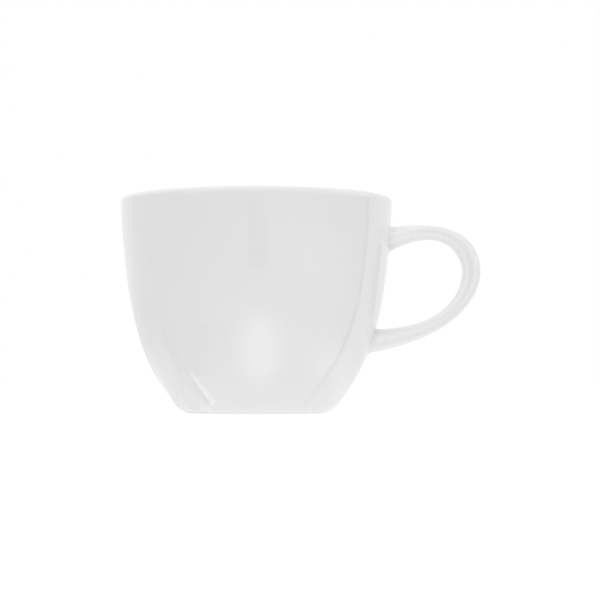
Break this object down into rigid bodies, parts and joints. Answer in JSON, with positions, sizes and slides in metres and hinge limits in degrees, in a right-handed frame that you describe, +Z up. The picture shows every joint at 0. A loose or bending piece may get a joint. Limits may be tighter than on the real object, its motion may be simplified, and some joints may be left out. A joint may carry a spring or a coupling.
{
  "type": "espresso cup",
  "caption": "Small white glazed porcelain cup with a round bowl that narrows to a low foot ring and a D-shaped loop handle, for drinking espresso.",
  "frame": {"origin": "on the cup's axis, in the plane of the foot ring that stands on the table", "axes": "+Z up along the cup's axis, +X from the axis towards the handle, +Y to the left of the handle"},
  "size_m": [0.0862, 0.065, 0.0515],
  "materials": {
    "glazed_porcelain": "white porcelain under a clear, glossy glaze, bare on the foot ring",
    "glazed_slip": "white slip fired with the porcelain under the same clear, glossy glaze"
  },
  "bodies": {
    "root": {"cup_body": "glazed_porcelain", "handle": "glazed_porcelain", "upper_slip_bead": "glazed_slip", "lower_slip_bead": "glazed_slip"}
  },
  "joints": []
}
